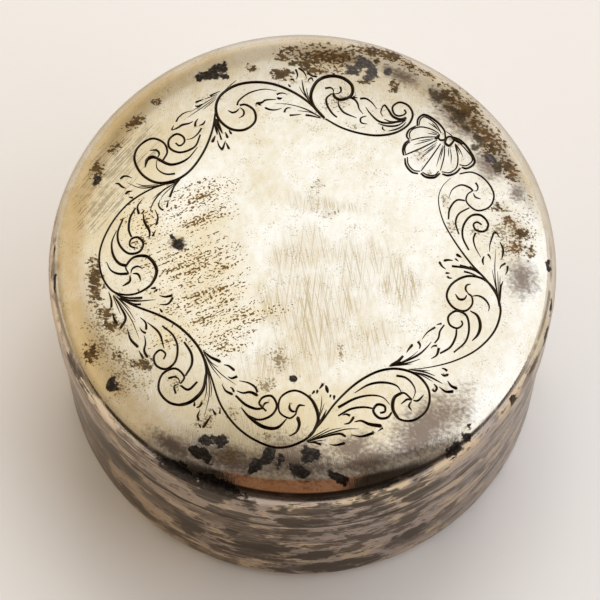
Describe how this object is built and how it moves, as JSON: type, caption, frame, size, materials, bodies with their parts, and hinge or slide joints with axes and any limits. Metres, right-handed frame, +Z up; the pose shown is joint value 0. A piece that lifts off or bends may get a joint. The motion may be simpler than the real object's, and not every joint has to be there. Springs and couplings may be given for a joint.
{
  "type": "pyx",
  "caption": "Round silver pyx with a pull-off domed lid engraved with a wreath of leafy scrolls and a shell, a plain wall and a gilt bezel that the lid slips over.",
  "frame": {"origin": "centre of the flat underside of the base", "axes": "+Z up along the axis of the box, -Y towards the viewer of the picture, +X to the viewer's right"},
  "size_m": [0.064, 0.064, 0.0382],
  "materials": {
    "silver": "worn polished silver, yellowed and spotted with tarnish",
    "gilt": "thin worn gilding over silver"
  },
  "bodies": {
    "base": {"base_pan": "silver", "body_wall": "silver", "mouth_wire": "silver", "bezel": "gilt"},
    "lid": {"lid_cover": "silver", "lid_band": "silver"}
  },
  "joints": [
    {"name": "lid_lift", "type": "slide", "parent": "base", "child": "lid", "axis": [0, 0, 1], "range_m": [0, 0.05]}
  ]
}
